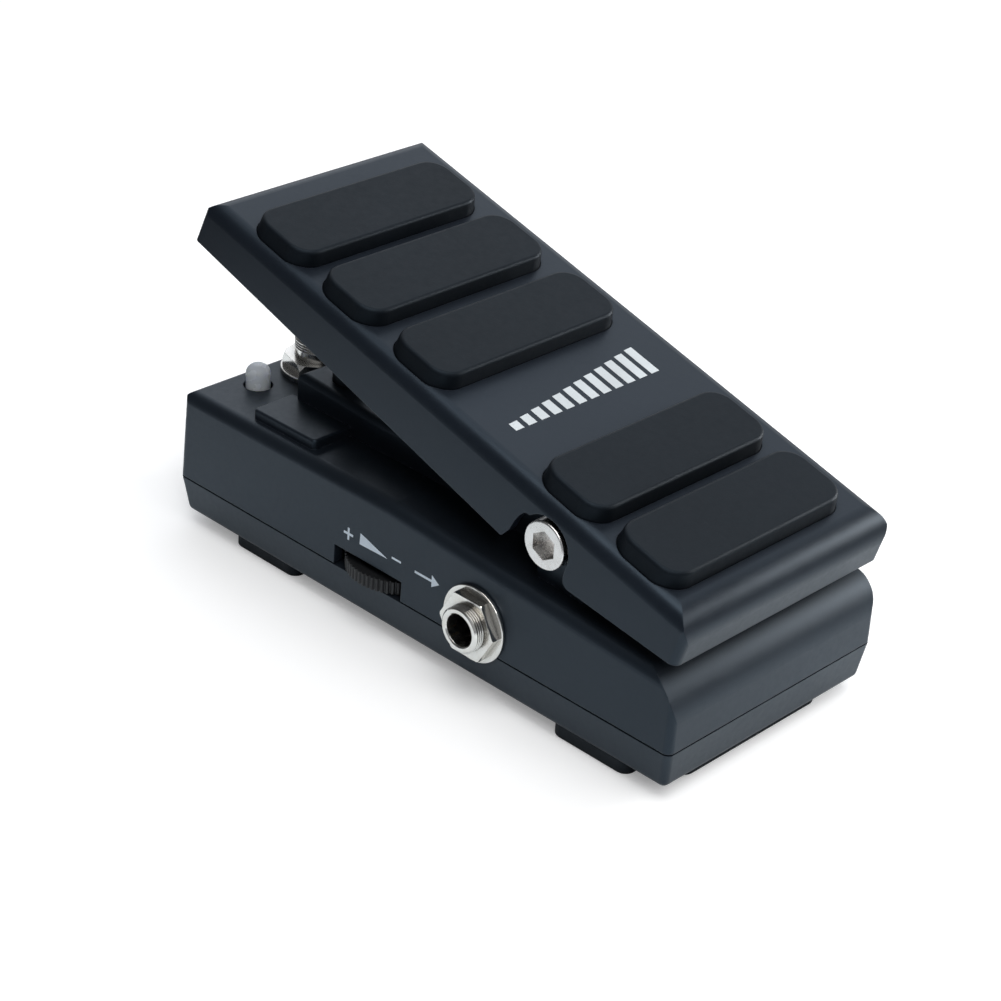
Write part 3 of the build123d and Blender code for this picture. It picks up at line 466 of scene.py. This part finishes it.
def arrow_outline():
    y, z = ARROW_CENTRE_MM
    neck, tail = y - ARROW_NECK_MM, y + ARROW_TAIL_MM
    head, line = ARROW_HALF_HEAD_MM, ARROW_HALF_LINE_MM
    return [(y - ARROW_TIP_MM, z), (neck, z - head), (neck, z - line), (tail, z - line),
            (tail, z + line), (neck, z + line), (neck, z + head)]


def bar_outline(i):
    x0 = BAR_FIRST_X_MM + i * BAR_PITCH_MM
    x1 = x0 + BAR_WIDTH_MM
    end = BAR_START_MM + BAR_LENGTH_MM + i * BAR_GROWTH_MM
    return [(x0, BAR_START_MM), (x1, BAR_START_MM), (x1, end + BAR_SLANT_MM), (x0, end)]


add_print("level_marks", [plus_outline(), WEDGE_MM, minus_outline()], on_wall, PRINT_INK, "base")
add_print("output_arrow", [arrow_outline()], on_wall, PRINT_INK, "base")
add_print("level_motif", [bar_outline(i) for i in range(BAR_COUNT)], on_treadle, MOTIF_INK,
          "rocker")


# ------------------------------------------------------------- stage and light
def floor_material():
    """Near white to the camera; for other rays it carries a painted pool of light around the
    pedal that darkens to painted shade farther away.
    """
    m = Material("floor_pale")
    cloud = m.noise(scale=6.0, detail=3.0, roughness=0.5)
    near_white = m.mix(cloud, rgba(0.87, 0.87, 0.87), rgba(0.90, 0.90, 0.90))

    axes = m.add("ShaderNodeSeparateXYZ", {0: m.coords["Object"]}).outputs
    squares = []
    for axis, half in (("X", PAINTED_POOL_HALF_X), ("Y", PAINTED_POOL_HALF_Y)):
        beyond = m.calc("SUBTRACT", m.calc("ABSOLUTE", axes[axis]), half)
        beyond = m.calc("MAXIMUM", beyond, 0.0)
        squares.append(m.times(beyond, beyond))
    away = m.calc("SQRT", m.plus(*squares))
    # painted light and shade: for rays other than the camera's, the floor is bright near the
    # pedal and dark farther out
    painted_pool_fade = m.remap(away, source=PAINTED_POOL_FADE, curve="SMOOTHSTEP")
    painted_floor_light = m.mix(painted_pool_fade, rgba(0.92, 0.97, 1.0), rgba(0.13, 0.135, 0.145))

    camera_ray = m.add("ShaderNodeLightPath").outputs["Is Camera Ray"]
    return m.surface(
        Base_Color=m.mix(camera_ray, painted_floor_light, near_white),
        Roughness=0.9,
        Specular_IOR_Level=0.1,
        Emission_Color=rgba(1.0, 1.0, 1.0),
        Emission_Strength=m.times(camera_ray, 0.26))


def build_floor():
    bm = bmesh.new()
    corners = ((-1, -1), (1, -1), (1, 1), (-1, 1))
    bm.faces.new([bm.verts.new((x * FLOOR_HALF, y * FLOOR_HALF, 0)) for x, y in corners])
    floor = mesh_object("floor", bm)
    floor.data.materials.append(floor_material())


def build_world():
    """White to the camera; otherwise soft, bright toward +X +Y and dim on two other sides."""
    world = bpy.data.worlds.new("world")
    bpy.context.scene.world = world
    world.use_nodes = True
    w = Nodes(world.node_tree)

    def lobe(direction, source, target):
        """A value that changes as the view nears a direction."""
        nearness = w.dot(w.coords["Generated"], Vector(direction).normalized())
        return w.remap(nearness, source, target, curve="SMOOTHSTEP")

    bright = lobe((0.64, 0.44, 0.60), source=(0.68, 0.97), target=(0.0, 1.0))
    dim_left = lobe((-0.49, 0.59, 0.64), source=(0.45, 0.98), target=(1.0, 0.20))
    dim_heel = lobe((0.64, -0.49, 0.59), source=(0.40, 0.90), target=(1.0, 0.02))
    ambient_strength = 0.30
    bright_strength = 0.90
    ambient = w.times(w.times(dim_left, dim_heel), ambient_strength)
    strength = w.calc("MULTIPLY_ADD", bright, bright_strength, ambient)

    soft = w.add("ShaderNodeBackground", {"Color": rgba(0.94, 0.98, 1.04), "Strength": strength})
    plain = w.add("ShaderNodeBackground", {"Color": rgba(1, 1, 1)})
    camera_ray = w.add("ShaderNodeLightPath").outputs["Is Camera Ray"]
    both = w.add("ShaderNodeMixShader", {0: camera_ray, 1: soft.outputs[0], 2: plain.outputs[0]})
    w.add("ShaderNodeOutputWorld", {"Surface": both.outputs[0]})


def area_light(name, location, target, size, power):
    """A square lamp aimed at a target."""
    data = bpy.data.lights.new(name, "AREA")
    data.shape = "RECTANGLE"
    data.size = data.size_y = size
    data.energy = power
    lamp = add_object(name, data)
    lamp.location = location
    aim = Vector(target) - Vector(location)
    lamp.rotation_euler = aim.to_track_quat("-Z", "Y").to_euler()


def build_camera():
    data = bpy.data.cameras.new("cam")
    data.sensor_width = 36.0
    data.lens = 88.79
    data.clip_start = 0.01
    camera = add_object("cam", data)

    # the camera's own axes in the frame, made square to each other
    right = Vector((0.6993, -0.7125, 0.0570)).normalized()
    back = Vector((-0.6433, -0.5925, 0.4848)).normalized()
    up = back.cross(right).normalized()
    right = up.cross(back)
    turn = Matrix((right, up, back)).transposed().to_4x4()
    camera.matrix_world = Matrix.Translation((-0.30525, -0.27757, 0.25112)) @ turn
    bpy.context.scene.camera = camera


build_floor()
build_world()
area_light("top_soft", location=(-0.15, -0.35, 1.3), target=(0, 0, 0.03), size=1.2, power=15.0)
area_light("key_small", location=(-0.34, -0.41, 0.42), target=(-0.01, -0.05, 0.04),
           size=0.10, power=0.50)
area_light("heel_side", location=(0.72, -0.34, 0.19), target=(0.03, -0.10, 0.0),
           size=0.30, power=5.2)
build_camera()
bpy.context.scene.view_settings.view_transform = "Standard"
